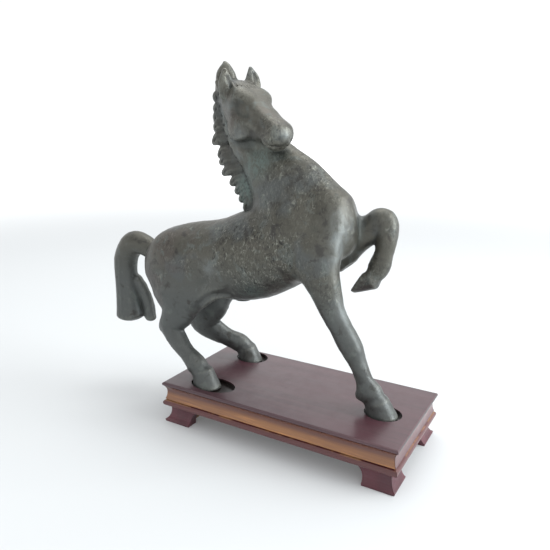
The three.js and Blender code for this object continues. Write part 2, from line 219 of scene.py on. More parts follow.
    def _quads(self, axis, inside, number):
        """The quads round the grid edges along an axis that cross the surface."""
        first, second = [i for i in range(3) if i != axis]
        here = [slice(1, -1)] * 3
        here[axis] = slice(0, -1)
        there = list(here)
        there[axis] = slice(1, None)
        starts = inside[tuple(here)]
        edge = np.argwhere(starts != inside[tuple(there)])
        base = edge.copy()
        base[:, first] += 1
        base[:, second] += 1
        ring = []
        for step_1, step_2 in ((-1, -1), (0, -1), (0, 0), (-1, 0)):
            cell = base.copy()
            cell[:, first] += step_1
            cell[:, second] += step_2
            ring.append(number[tuple(cell.T)])
        ring = np.stack(ring, 1)
        outward = starts[tuple(edge.T)] ^ (axis == 1)
        ring[~outward] = ring[~outward][:, ::-1]
        return ring

    def at(self, points, grid=None):
        """The grid's values at points, straight between its nodes."""
        grid = self.grid if grid is None else grid
        place = (points - self.low) / self.voxel
        cell = np.clip(np.floor(place).astype(int), 0, self.shape - 2)
        return weighed(grid, cell, np.clip(place - cell, 0, 1))


def weighed(grid, cell, share):
    """The grid's values in its cells, weighed by how far across each cell the point is."""
    found = np.zeros(len(cell))
    for i, j, k in CORNERS:
        weight = np.prod(np.abs(share - (1 - np.array([i, j, k]))), axis=1)
        found += weight * grid[cell[:, 0] + i, cell[:, 1] + j, cell[:, 2] + k]
    return found


def smoothed(grid, times):
    """The grid after so many passes of a three-node average along each axis."""
    grid = grid.copy()
    for _ in range(times):
        for axis in range(3):
            rows = np.moveaxis(grid, axis, 0)
            rows[1:-1] = 0.25 * rows[:-2] + 0.5 * rows[1:-1] + 0.25 * rows[2:]
    return grid


def lumps(points, size, seed):
    """Smooth random heights between -1 and 1 at points, with features of about that size in mm."""
    low = points.min(0) - size
    cells = np.ceil((points.max(0) - low) / size).astype(int) + 2
    heights = np.random.default_rng(seed).uniform(-1, 1, cells)
    place = (points - low) / size
    cell = np.floor(place).astype(int)
    share = place - cell
    return weighed(heights, cell, share * share * (3 - 2 * share))


# ---- The horse's build, as in the frame: each row is x, y, z, half width, half depth ----

TRUNK = [
    (-130, 0, 123, 21, 20), (-112, 0, 129, 25, 27.5), (-90, 0, 132, 27, 30), (-62, 0, 134, 31, 33.5),
    (-37, 0, 141, 32, 35.5), (-10, 0, 152, 29, 31.5), (12, 0, 162.5, 24, 26.5), (26, 0, 166, 16, 20),
]
NECK = [
    (1, 0, 166, 24, 40.5), (-9.5, 0, 189, 20, 33), (-26, 0, 210, 16, 23), (-41, 0, 231, 14, 19),
    (-52, 0, 250, 12.5, 16),
]
NECK_FRONT = [(-6, 0, 206, 10, 8), (14, 0, 195.5, 11, 7.5), (30, -1, 185.5, 12, 8.5)]
# The left side's chest corner, flank, flank fold and shoulder crease; the right side has the same.
CHEST_CORNER = [
    (29, 12, 182, 5, 5), (31.5, 14.5, 175, 6, 6), (33, 17, 164, 5.6, 5.6), (33.5, 18.5, 151, 5, 5),
    (32, 18, 138, 3.4, 3.4),
]
FLANK = [(-84, 24, 101, 5, 5), (-76, 25.5, 107, 4, 4), (-67, 26, 113, 3, 3), (-58, 25, 117, 2, 2)]
FLANK_FOLD = [
    (-88, 17, 92, 3, 3), (-75, 22.5, 99, 3, 3), (-64, 24, 106.5, 2.4, 2.4), (-53, 19, 108.5, 1.8, 1.8),
]
SHOULDER_CREASE = [(6, 33, 158, 2, 2), (9, 30, 144, 2.5, 2.5), (10, 25, 132, 2, 2)]
RIGHT_FORELEG = [
    (18, -17, 152, 13, 19), (28, -19, 131, 11, 13), (35.5, -18, 112, 8.7, 9.5), (42.5, -16, 98, 7.8, 8.6),
    (49, -13, 85, 8.2, 8.6), (55, -11, 71, 6.4, 6.8), (59.5, -9, 59, 6.1, 6.7), (63.5, -8, 50.5, 7.4, 9.6),
    (69, -7, 45, 6.8, 7),
]
LEFT_FORELEG = [
    (20, 15, 148, 13, 17), (34, 16, 156, 11, 13), (46, 15, 164, 9.5, 10.5), (58, 15, 172.5, 9.3, 10.5),
    (61.5, 15, 163, 8.5, 8.5), (60.5, 15, 151, 6.8, 7.2), (57.5, 15, 140, 7.4, 8.4), (53.5, 15, 133, 6.8, 7),
]
RIGHT_HIND_LEG = [
    (-112, -16, 124, 14, 28), (-104, -20, 106, 13, 25), (-102, -22, 90, 10, 17), (-110, -23, 75, 8, 10.5),
    (-102, -25, 64.5, 7.4, 9.4), (-90, -28, 56, 6.5, 7.4), (-78.5, -30, 49, 7.6, 8.6), (-73, -30, 44, 7, 7.2),
]
LEFT_HIND_LEG = [
    (-112, 16, 124, 14, 28), (-101, 18, 105, 13, 28), (-99, 17, 88, 11, 20), (-107, 16, 70, 9, 14.5),
    (-96, 20, 59.5, 7.8, 11), (-85, 25, 53, 6.8, 8.5), (-75, 30, 48, 7.6, 8.6), (-70, 32, 44, 7, 7.2),
]
# The knees, fetlocks and hocks: each a place, its radii, its softness and its tip.
LEG_JOINTS = [
    ((52, -13, 84), (5, 6.5, 7), 3, 0), ((56.5, -8, 46.5), (4, 4.5, 3.8), 2.5, -20),
    ((-118, -23, 73.5), (4.5, 4, 7), 4, -20), ((-117, 16, 75), (4.5, 4, 7), 4, -20),
    ((-82, -30, 44.5), (4, 4.5, 3.5), 2.5, 0), ((-78.5, 30, 43.5), (4, 4.5, 3.5), 2.5, 0),
    ((63, 15, 170), (5, 6.5, 7), 3, 0),
]
TAIL = [
    (-130, 0, 127, 8, 8), (-143, 0, 128, 7.5, 8), (-156, 0, 134.5, 9, 9.5), (-170, 0, 135, 10.5, 11),
    (-180, 0, 122, 10.5, 11), (-181.9, 0, 102, 9.5, 11.3), (-180.5, 0, 81, 10.5, 12.5),
    (-179.5, 0, 66, 12, 14),
]
TAIL_LOCK = [(-172, 3, 100, 5, 6), (-166, 4, 90, 5, 6.5), (-161.5, 5, 78, 5, 6.5), (-159, 5, 65, 4.5, 6.5)]

# Hooves, from the coronet to below the sole, and the planes their soles are cut to.
RIGHT_FORE_HOOF = [(69, -6.5, 43, 8.5, 9.5), (73.3, -5, 30, 10.5, 12)]
RIGHT_HIND_HOOF = [(-72, -30, 43, 8.5, 9.5), (-67, -31, 30, 10.5, 12.3)]
LEFT_HIND_HOOF = [(-69.5, 32, 43, 8.5, 9), (-66, 33.5, 30, 10.5, 11)]
RAISED_HOOF = [(53, 15, 131, 8.5, 9.3), (38, 15, 127, 9.5, 10)]
RAISED_SOLE = ((42, 15, 126.7), (-15.1, 0, 9.5))

# The head's own axes: along to the muzzle, left, and up out of the forehead, from the poll.
POLL = np.array([-56.0, 0, 257])
HEAD_TURN, HEAD_BOW = math.radians(22), math.radians(29)
AHEAD = np.array([
    math.cos(HEAD_BOW) * math.cos(HEAD_TURN), -math.cos(HEAD_BOW) * math.sin(HEAD_TURN), -math.sin(HEAD_BOW)])
LEFTWARD = np.array([math.sin(HEAD_TURN), math.cos(HEAD_TURN), 0])
UPWARD = np.cross(AHEAD, LEFTWARD)
HEAD_AXES = np.stack([AHEAD, LEFTWARD, UPWARD])
SKULL = [
    (-7, 0, 0, 12, 12), (4, 0, 1, 14.5, 14.5), (18, 0, 0, 15.5, 15), (32, 0, 0.5, 12.3, 13.5),
    (45, 0, 2, 9.8, 11), (53, 0, 3.2, 9.4, 9.8), (58, 0, 4, 8, 8.5),
]
# The left side's jaw hollow, nasal bone, cheek ridge and lip line; the right side has the same.
THROAT_HOLLOW = [
    (22, 11, -24, 3, 3), (31, 10, -20.5, 3.6, 3.6), (38, 8.5, -16.5, 4.4, 4.4), (46, 7, -14.5, 3.2, 3.2),
]
NASAL_BONE = [
    (24, 6.4, 8.8, 3, 2.2), (32, 6.2, 9, 3, 2.2), (45, 5.4, 8.6, 2.8, 2.2), (56, 4.6, 8.6, 2.6, 2.2),
]
CHEEK_RIDGE = [(25, 12.6, 0, 2.4, 2.4), (34, 9.8, -0.5, 2, 2), (42, 8, 0, 1.6, 1.6)]
LIP_LINE = [(65.4, 0.5, -1.6, 0.6, 0.6), (63, 4.5, -2, 0.6, 0.6), (58.5, 7.8, -2.8, 0.4, 0.4)]
RIGHT_EAR = [(0, -11, 5, 6.4, 4.6), (-3, -12.8, 12.5, 5.8, 3.8), (-8, -12.8, 19, 2.2, 1.8)]
LEFT_EAR = [(-0.5, 11.4, 5, 7.4, 4.8), (-6, 13.2, 13, 6.7, 3.8), (-12.5, 12.5, 20.5, 2, 1.6)]
RIGHT_EAR_CUP = [(3.6, -11.4, 11.5, 0.7, 0.7), (1.7, -12, 14, 1.3, 1), (-4, -12.8, 17.6, 0.8, 0.6)]
LEFT_EAR_CUP = [(4, 12.5, 8, 2, 2.2), (-0.5, 14.3, 14, 2.2, 1.8), (-8.6, 13.7, 19, 0.8, 0.8)]

# The tuft behind the ears.
TUFT = [
    (-66, 0, 258, 7, 9), (-65.5, 0, 270, 6.5, 8.5), (-66.5, 0, 279, 4.5, 5.5), (-67.5, 0, 284.3, 1.7, 1.7),
]
# The crest's comb, the smooth rim where it leaves the neck, and the locks down it, as x and z.
COMB = [
    (-67.5, 275), (-68, 266), (-68, 254), (-67.5, 241), (-67, 233),
    (-64, 222), (-58, 210), (-52.5, 200), (-46, 190), (-41, 181),
]
RIM = [
    (-69, 270), (-65, 260), (-63, 247), (-61, 237), (-57.5, 227.5),
    (-52, 218), (-42, 206), (-35, 198), (-30.5, 189), (-28.5, 183),
]
# Each lock: its root on the rim, its tip, and its half depth.
LOCKS = [
    ((-63, 264), (-74.5, 254), 4.6), ((-61, 255), (-76, 246), 4.6), ((-60, 248), (-77, 240), 5),
    ((-59, 241), (-77, 233.5), 4.4), ((-56, 233), (-79, 224), 5.6),
    ((-52, 223), (-74, 214), 5), ((-48, 217), (-72.5, 208.5), 4.6), ((-43, 211), (-70, 200.5), 5),
    ((-38, 204), (-62.5, 193), 4.8), ((-34, 198), (-58, 187), 4.4), ((-31, 193), (-54, 181), 4.4),
    ((-29, 188), (-50, 174.5), 4.6),
]

# Spots on the left side, each with its reach; the right side has the same: the patina's crust and verdigris,
# painted highlights, and painted shade on the head.
CRUST = [
    (-14, 14, 212, 20), (18, 14, 196, 17), (-42, 30, 148, 20), (12, 27, 132, 16), (-16, 31, 158, 26),
    (-28, 21, 116, 12), (-12, 17, 117, 11), (1, 17, 128, 10),
]
# Painted highlights: pale blue-grey where the chest corner, the foreleg's front and the flank catch the
# light.
PAINTED_HIGHLIGHTS = [(39, 15, 176, 9), (38, 18, 163, 9), (37, 20, 150, 8), (44, 18, 112, 7), (-64, 31, 131, 7)]
VERDIGRIS = [(-25, 15, 216, 9), (-34, 15, 210, 9), (-42, 9, 196, 9), (-48, 8, 186, 8), (-28, 21, 115, 9)]
HEAD_CRUST = [(28, 13, -13, 9), (52, 8, 4, 8)]
# Painted highlights: pale blue-grey on the nose tip, the cheek and the jaw.
HEAD_PAINTED_HIGHLIGHTS = [(64, 3, 8, 4.5), (12, 15, -2, 6), (31, 12, -14, 8)]
# Painted shade round the eyes and on the muzzle's sides.
HEAD_PAINTED_SHADE = [(19, 14, 6, 7.5), (46, 10, 0, 7)]

CORE_PLUG = (-52, 0)
CORE_PLUG_RADIUS = 6.7
# The box round the horse that the clay fills, and the heights that the belly's skin is looked for in.
CLAY_LOW, CLAY_HIGH = (-205, -50, 24), (98, 50, 298)
BELLY_LOW, BELLY_HIGH, BELLY_STEP = 80.0, 130.0, 0.1
# How far the body's joins are smoothed, and the widths of the small and the broad forms, in mm.
SMOOTHING, SMALL_FORMS, BROAD_FORMS = 2.2, 2, 4
# The wax's unevenness: each size of lump and how high it stands, in mm; it fades out over the soles.
WAX = [(9, 0.28), (4, 0.16), (1.8, 0.07)]
WAX_SHRINKAGE = 0.1
SOLE_FADE = 6
MANE_LOW, MANE_HIGH = 176, 262


def in_head(stations):
    """Stations given along, left and up from the poll, moved to where the head is."""
    return [(*(POLL + np.array(row[:3]) @ HEAD_AXES), *row[3:]) for row in stations]


def head_point(along, left, up):
    return POLL + np.array([along, left, up]) @ HEAD_AXES


def on_side(stations, side):
    return [(row[0], side * row[1], *row[2:]) for row in stations]


def mirrored(stations):
    return on_side(stations, 1) + on_side(stations, -1)


def shape_trunk(clay):
    clay.limb(TRUNK, softness=2)
    # The haunches, shoulders and stifles, and then the breast.
    for side in (-1, 1):
        clay.ball((-112, side * 12, 129.5), (27, 17, 24), softness=8, tip=20)
        clay.ball((4, side * 15, 158), (18, 13, 30), softness=10, tip=25)
        clay.ball((-84, side * 17, 114), (14, 11, 13), softness=8)
    clay.ball((26.5, -3, 171), (17.5, 15, 26), softness=6, tip=14)
    clay.limb(NECK, softness=8)
    clay.limb(NECK_FRONT, softness=8)
    for side in (-1, 1):
        clay.limb(on_side(CHEST_CORNER, side), softness=10)
        clay.limb(on_side(FLANK, side), softness=7)
        clay.limb(on_side(FLANK_FOLD, side), softness=4)
        clay.limb(on_side(SHOULDER_CREASE, side), softness=6, carve=True)


def shape_legs(clay):
    for leg in (RIGHT_FORELEG, LEFT_FORELEG, RIGHT_HIND_LEG, LEFT_HIND_LEG):
        clay.limb(leg, softness=7)
    for joint in LEG_JOINTS:
        clay.ball(*joint)


def shape_hooves(clay):
    for hoof in (RIGHT_FORE_HOOF, RIGHT_HIND_HOOF, LEFT_HIND_HOOF, RAISED_HOOF):
        clay.limb(hoof, softness=2.2, cap=0.6)
    # The raised pastern's hollow over its hoof.
    clay.ball((47.5, 15, 137.5), (2.2, 9, 3), softness=1.5, carve=True)
    clay.shave(*RAISED_SOLE, reach=16)
    for hoof in (RIGHT_FORE_HOOF, RIGHT_HIND_HOOF, LEFT_HIND_HOOF):
        x, y = hoof[1][:2]
        clay.shave((x, y, sole_height), DOWN, reach=22)


def shape_tail(clay):
    clay.limb(TAIL, softness=3, cap=0.5)
    clay.limb(TAIL_LOCK, softness=1.2)
    # The hanging hair's long shallow furrows.
    for side in (-1, 1):
        for offset in (-6.3, -2.25, 2.25, 6.3):
            furrow = [(x + offset, side * (half - 0.1), z, 0.9, 0.9) for x, y, z, half, depth in TAIL[4:]]
            clay.limb(furrow, softness=1.5, carve=True)


def shape_skull(clay):
    """The skull's long block and chin, with the jowls, brows, lips and nostrils on both sides."""
    clay.limb(in_head(SKULL), softness=6, across=LEFTWARD)
    clay.ball(head_point(56, 0, -3.8), (7, 7.8, 5.2), softness=2.5, axes=HEAD_AXES)
    for side in (-1, 1):
        clay.ball(head_point(23, side * 9, -9.5), (12, 7.5, 11.5), softness=3, axes=HEAD_AXES)
        clay.ball(head_point(15, side * 8.6, 9.8), (10.5, 7.6, 6.8), softness=6, axes=HEAD_AXES)
        clay.ball(head_point(54, side * 5.5, -1), (8, 4.5, 5.5), softness=3, axes=HEAD_AXES)
        clay.ball(head_point(57.3, side * 5, 4.8), (6, 5, 6.5), softness=3, axes=HEAD_AXES)


def shape_face(clay):
    """The nasal bones, the soft hollows of the eyes, and the hollows under the jaw."""
    for side in (-1, 1):
        clay.limb(in_head(on_side(THROAT_HOLLOW, side)), softness=3, carve=True)
        clay.ball(head_point(42, side * 15, -1), (13, 4.5, 6.5), softness=5, axes=HEAD_AXES, carve=True)
        clay.limb(in_head(on_side(NASAL_BONE, side)), softness=4, across=LEFTWARD)
        clay.limb(in_head(on_side(CHEEK_RIDGE, side)), softness=5, across=LEFTWARD)
        clay.ball(head_point(25.5, side * 17, 4.6), (9, 6.6, 5.8), softness=5, axes=HEAD_AXES, carve=True)
        clay.ball(head_point(22.5, side * 9.4, 5), (4.6, 2.6, 3), softness=4.5, axes=HEAD_AXES)


def shape_mouth(clay):
    """The nostrils' dimples and the line between the lips."""
    for side in (-1, 1):
        clay.ball(head_point(65.6, side * 5.6, 4.4), (2, 1.2, 2), softness=2.6, axes=HEAD_AXES, carve=True)
        clay.limb(in_head(on_side(LIP_LINE, side)), softness=1.4, carve=True)


def shape_ears(clay):
    for ear, cup in ((RIGHT_EAR, RIGHT_EAR_CUP), (LEFT_EAR, LEFT_EAR_CUP)):
        clay.limb(in_head(ear), softness=4, across=LEFTWARD)
        clay.limb(in_head(cup), softness=2, across=LEFTWARD, carve=True)


def shape_forelock(clay):
    """The tuft that stands up behind the ears, and the short fringe that it throws forward."""
    clay.limb(TUFT, softness=2)
    clay.ball(head_point(4, 0, 13), (8, 11, 3.2), softness=2, axes=HEAD_AXES)
    for left in np.linspace(-9, 9, 8):
        stroke = [
            (-2, left * 0.8, 16.8 - 0.02 * left ** 2, 0.7, 0.7),
            (4, left, 17 - 0.03 * left ** 2, 0.8, 0.8),
            (10 - left * 0.2, left * 1.15, 16 - 0.03 * left ** 2, 0.6, 0.6),
        ]
        clay.limb(in_head(stroke), softness=1.3, carve=True)


def shape_mane(clay):
    clay.limb([(x, 0, z, 6.4, 6.5) for x, z in COMB], softness=3)
    for side in (-1, 1):
        clay.limb([(x - 0.5, side * 6.8, z, 2.2, 2.2) for x, z in RIM], softness=2)
    for (root_x, root_z), (tip_x, tip_z), depth in LOCKS:
        middle_x, middle_z = 0.5 * (root_x + tip_x), 0.5 * (root_z + tip_z)
        lock = [
            (root_x - 2, 5.4, root_z - 1, 1.8, depth * 0.7), (middle_x - 2, 5.4, middle_z + 1, 2.8, depth),
            (tip_x + 3.6, 3, tip_z + 2.8, 2.6, 3.3), (tip_x + 2, 2, tip_z + 1.5, 1.9, 2.1),
        ]
        furrow = [
            (root_x - 4, 8, root_z - 2, 0.6, 0.6), (middle_x - 2, 8.6, middle_z + 1.8, 0.7, 0.7),
            (tip_x + 5, 6, tip_z + 3, 0.5, 0.5),
        ]
        for side in (-1, 1):
            clay.limb(on_side(lock, side), softness=0.9)
            clay.limb(on_side(furrow, side), softness=0.9, carve=True)


def model_horse():
    """The whole horse in clay, as modelled for the mould."""
    clay = Clay(CLAY_LOW, CLAY_HIGH, VOXEL)
    shape_trunk(clay)
    shape_legs(clay)
    shape_tail(clay)
    shape_skull(clay)
    shape_face(clay)
    clay.smooth(max(1, round(SMOOTHING / VOXEL)))
    shape_hooves(clay)
    shape_mouth(clay)
    shape_ears(clay)
    shape_forelock(clay)
    shape_mane(clay)
    return clay


def spots(points, centres):
    """Between 0 and 1, how near points are to any of the centres, each a place and its reach."""
    near = [np.exp(-((points - row[:3]) ** 2).sum(1) / row[3] ** 2) for row in np.array(centres, float)]
    return np.clip(sum(near), 0, 1)


def belly_height(clay):
    """The height of the belly's skin where the core plug is."""
    heights = np.arange(BELLY_LOW, BELLY_HIGH, BELLY_STEP)
    column = np.stack([np.full(len(heights), CORE_PLUG[0]), np.full(len(heights), CORE_PLUG[1]), heights], 1)
    return heights[np.argmax(clay.at(column) < 0)]


# ---- Meshes ----

def in_frame(points):
    """Millimetres from the middle of the stand, as metres in the frame."""
    return points * MM + np.array([stand_middle.x, stand_middle.y, 0])


def new_object(name, vertices, faces, material):
    mesh = bpy.data.meshes.new(name)
    mesh.from_pydata(in_frame(vertices).tolist(), [], faces)
    mesh.materials.append(material)
    piece = bpy.data.objects.new(name, mesh)
    bpy.context.scene.collection.objects.link(piece)
    return piece


def store(piece, name, values):
    attribute = piece.data.attributes.new(name, "FLOAT", "POINT")
    attribute.data.foreach_set("value", np.asarray(values, np.float32))


def thinned(piece, most_triangles):
    """Merges faces where the surface is flattest, down to so many triangles."""
    count = 2 * len(piece.data.polygons)
    if count > most_triangles:
        modifier = piece.modifiers.new("thin", "DECIMATE")
        modifier.ratio = most_triangles / count
        evaluated = piece.evaluated_get(bpy.context.evaluated_depsgraph_get())
        piece.data = bpy.data.meshes.new_from_object(evaluated)
        piece.modifiers.clear()


def waxed(mesh):
    """Gives the mesh the wax's unevenness, kept off the flat soles, and returns its points in mm."""
    count = len(mesh.vertices)
    places = np.zeros(count * 3)
    mesh.vertices.foreach_get("co", places)
    points = (places.reshape(-1, 3) - in_frame(np.zeros(3))) / MM
    normals = np.zeros(count * 3)
    mesh.vertices.foreach_get("normal", normals)
    height = sum(high * lumps(points, size, SEED + turn) for turn, (size, high) in enumerate(WAX))
    height *= np.clip((points[:, 2] - sole_height) / SOLE_FADE, 0, 1)
    points += normals.reshape(-1, 3) * (height - WAX_SHRINKAGE)[:, None]
    mesh.vertices.foreach_set("co", in_frame(points).ravel())
    return points


def mark_mane_shade(piece, points):
    """Marks what lies behind the rim, between the heights where the mane starts and ends, for the mane's
    painted shade.
    """
    rim_x = np.interp(points[:, 2], [z for x, z in reversed(RIM)], [x for x, z in reversed(RIM)])
    behind = np.clip((rim_x - points[:, 0]) / 3, 0, 1)
    store(piece, "mane", behind * (points[:, 2] > MANE_LOW) * (points[:, 2] < MANE_HIGH))


def cast_horse(material):
    clay = model_horse()
    vertices, quads = clay.mesh()
    piece = new_object("bronze_horse", vertices, quads.tolist(), material)
    thinned(piece, MOST_TRIANGLES)
    piece.data.shade_smooth()
    points = waxed(piece.data)
    # Where the surface is an edge or a groove, and where it swells or sinks more broadly.
    fine = smoothed(clay.grid, max(1, round((SMALL_FORMS / VOXEL) ** 2)))
    broad = smoothed(fine, max(1, round((BROAD_FORMS / VOXEL) ** 2)))
    store(piece, "edge", np.clip(0.5 + (clay.at(points, fine) - clay.at(points)) * 0.9, 0, 1))
    store(piece, "form", np.clip(0.5 + (clay.at(points, broad) - clay.at(points, fine)) * 0.5, 0, 1))
    # The mane's mask, for the painted shade that darkens it.
    mark_mane_shade(piece, points)
    # Painted highlights along the mane's rim.
    rim_highlights = [(x + 2, 8, z, 5) for x, z in RIM[1:7]]
    store(piece, "crust", spots(points, mirrored(CRUST) + in_head(mirrored(HEAD_CRUST))))
    # Painted highlights: the spots where the light catches.
    store(piece, "painted_highlight", spots(points, mirrored(PAINTED_HIGHLIGHTS + rim_highlights) + in_head(mirrored(HEAD_PAINTED_HIGHLIGHTS))))
    store(piece, "verdigris", spots(points, mirrored(VERDIGRIS)))
    # Painted shade round the eyes and on the muzzle's sides.
    store(piece, "painted_shade", spots(points, in_head(mirrored(HEAD_PAINTED_SHADE))))
    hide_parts("horse_casting")
    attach(piece, "horse")
    return clay


def core_plug(clay, material):
    """The hammered disc that closes the core hole, set a little proud of the belly."""
    rings, around = 6, 40
    proud, dome, depth = 0.5, 0.4, 3
    x, y = CORE_PLUG
    skin = belly_height(clay)
    vertices = [(x, y, skin - proud)]
    for ring in range(1, rings + 1):
        radius = CORE_PLUG_RADIUS * min(ring / (rings - 1), 1)
        drop = -proud + dome * (ring / rings) ** 2 if ring < rings else depth
        for i in range(around):
            angle = 2 * math.pi * i / around
            vertices.append((x + radius * math.cos(angle), y + radius * math.sin(angle), skin + drop))
    vertices.append((x, y, skin + depth))
    faces = []
    for i in range(around):
        after = (i + 1) % around
        faces.append((0, 1 + i, 1 + after))
        for ring in range(rings - 1):
            low, high = 1 + ring * around, 1 + (ring + 1) * around
            faces.append((low + i, high + i, high + after, low + after))
        last = 1 + (rings - 1) * around
        faces.append((last + i, len(vertices) - 1, last + after))
    piece = new_object("core_plug_disc", np.array(vertices), faces, material)
    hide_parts("core_plug")
    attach(piece, "horse")


# ---- Materials ----

class Nodes:
    """Adds and links the nodes of a material or of the world."""

    def __init__(self, owner, shader="Principled BSDF", place="Object"):
        owner.use_nodes = True
        self.owner = owner
        self.tree = owner.node_tree
        self.shader = self.tree.nodes[shader]
        self.place = self.tree.nodes.new("ShaderNodeTexCoord").outputs[place]

    def feed(self, socket, value):
        """Gives a socket another node's output, or a constant."""
        if isinstance(value, bpy.types.NodeSocket):
            self.tree.links.new(value, socket)
        else:
            socket.default_value = (*value, 1) if socket.type == "RGBA" else value

    def set(self, name, value):
        self.feed(self.shader.inputs[name], value)

    def noise(self, scale, detail=4, roughness=0.55, stretch=(1, 1, 1), distortion=0.0):
        mapping = self.tree.nodes.new("ShaderNodeMapping")
        self.feed(mapping.inputs["Scale"], stretch)
        self.feed(mapping.inputs["Vector"], self.place)
        node = self.tree.nodes.new("ShaderNodeTexNoise")
        self.feed(node.inputs["Scale"], scale)
        self.feed(node.inputs["Detail"], detail)
        self.feed(node.inputs["Roughness"], roughness)
        self.feed(node.inputs["Distortion"], distortion)
        self.feed(node.inputs["Vector"], mapping.outputs["Vector"])
        return node.outputs["Fac"]

    def attribute(self, name):
        node = self.tree.nodes.new("ShaderNodeAttribute")
        node.attribute_name = name
        return node.outputs["Fac"]

    def spread(self, value, low, high, to_low=0.0, to_high=1.0):
        """value, eased so that low to high becomes to_low to to_high."""
        node = self.tree.nodes.new("ShaderNodeMapRange")
        node.interpolation_type = "SMOOTHSTEP"
        self.feed(node.inputs["Value"], value)
        for socket, number in zip(("From Min", "From Max", "To Min", "To Max"), (low, high, to_low, to_high)):
            self.feed(node.inputs[socket], number)
        return node.outputs["Result"]

    def math(self, operation, *values, kind="ShaderNodeMath"):
        node = self.tree.nodes.new(kind)
        node.operation = operation
        for socket, value in zip(node.inputs, values):
            self.feed(socket, value)
        return node.outputs["Value"]

    def times(self, a, b):
        return self.math("MULTIPLY", a, b)

    def mix(self, factor, a, b):
        """Colour a turned into b by factor; each may be a colour or a node's output."""
        node = self.tree.nodes.new("ShaderNodeMix")
        node.data_type = "RGBA"
        self.feed(node.inputs["Factor"], factor)
        self.feed(node.inputs[6], a)
        self.feed(node.inputs[7], b)
        return node.outputs[2]

    def axis(self, letter):
        node = self.tree.nodes.new("ShaderNodeSeparateXYZ")
        self.feed(node.inputs[0], self.place)
        return node.outputs[letter]

    def bump(self, layers):
        """Bumps laid on each other: each layer is a height, its distance in mm and its strength."""
        normal = None
        for height, distance, strength in layers:
            node = self.tree.nodes.new("ShaderNodeBump")
            self.feed(node.inputs["Distance"], distance * MM)
            self.feed(node.inputs["Strength"], strength)
            self.feed(node.inputs["Height"], height)
            if normal is not None:
                self.feed(node.inputs["Normal"], normal)
            normal = node.outputs["Normal"]
        self.set("Normal", normal)


def material_nodes(name):
    return Nodes(bpy.data.materials.new(name))


def patina():
    """Dark bronze: brown body, grey-green limbs, darker grooves, worn edges, and a pale and dark speckle,
    with painted shade in the hollows, on the mane and round the eyes, and painted highlights.
    """
    n = material_nodes("patinated_bronze")
    clouds = n.noise(30, detail=4, roughness=0.55)
    patches = n.noise(85, detail=5, roughness=0.65, distortion=0.5)
    mottle = n.noise(330, detail=5, roughness=0.72, stretch=(1.3, 1, 0.7), distortion=1.2)
    grain = n.noise(900, detail=4, roughness=0.65)
    redness = n.noise(22, detail=3, roughness=0.5)
    islands = n.noise(42, detail=3, roughness=0.6)
    crust = n.math("ADD", n.attribute("crust"), n.spread(islands, 0.44, 0.60, 0, 0.9))
    speckled = n.times(crust, n.spread(n.axis("Z"), 0.085, 0.125, 0.08, 0.56))
    # Where the surface sinks broadly, for the painted shade in the hollows.
    hollow = n.spread(n.attribute("form"), 0.48, 0.30)
    groove = n.spread(n.attribute("edge"), 0.46, 0.22)
    worn = n.times(n.spread(n.attribute("edge"), 0.55, 0.82), n.spread(mottle, 0.36, 0.55))
    low = n.spread(n.axis("Z"), 0.150, 0.095)
    grey = n.math("MAXIMUM", low, n.spread(clouds, 0.50, 0.66))
    colour = n.mix(grey, (0.086, 0.083, 0.068), (0.087, 0.093, 0.090))
    # Each layer laid over the last: how much of it, and its colour.
    layers = [
        (n.spread(redness, 0.56, 0.70, 0, 0.35), (0.098, 0.074, 0.070)),
        (n.spread(patches, 0.53, 0.68, 0, 0.8), (0.122, 0.136, 0.126)),
        (n.spread(patches, 0.46, 0.31, 0, 0.9), (0.045, 0.043, 0.039)),
        # Painted shade: the broad hollows darkened to a dark grey-green.
        (n.times(hollow, 0.5), (0.050, 0.062, 0.056)),
        (n.times(n.spread(mottle, 0.54, 0.66), speckled), (0.27, 0.28, 0.24)),
        (n.times(n.spread(mottle, 0.47, 0.38), speckled), (0.026, 0.026, 0.024)),
        # Painted shade: the mane darkened as if it lay in shadow.
        (n.times(n.attribute("mane"), 0.55), (0.040, 0.041, 0.040)),
        # Painted shade: darker round the eyes and on the muzzle's sides.
        (n.times(n.attribute("painted_shade"), n.spread(patches, 0.3, 0.6, 0.3, 0.75)), (0.042, 0.038, 0.032)),
        (n.times(n.attribute("verdigris"), n.spread(mottle, 0.40, 0.58, 0.2, 0.8)), (0.110, 0.150, 0.138)),
        # Painted highlights: a pale blue-grey laid on the spots where the light catches.
        (n.times(n.attribute("painted_highlight"), n.spread(patches, 0.35, 0.6, 0.15, 0.6)), (0.19, 0.21, 0.21)),
        (n.times(groove, 0.65), (0.026, 0.028, 0.026)),
        (n.times(worn, 0.4), (0.22, 0.225, 0.195)),
    ]
    for amount, tone in layers:
        colour = n.mix(amount, colour, tone)
    n.set("Base Color", colour)
    n.set("Metallic", 0.5)
    n.set("Roughness", n.spread(patches, 0.3, 0.75, 0.34, 0.54))
    n.bump([(grain, 0.12, 0.35), (mottle, 0.3, 0.5), (patches, 0.7, 0.3)])
    return n.owner


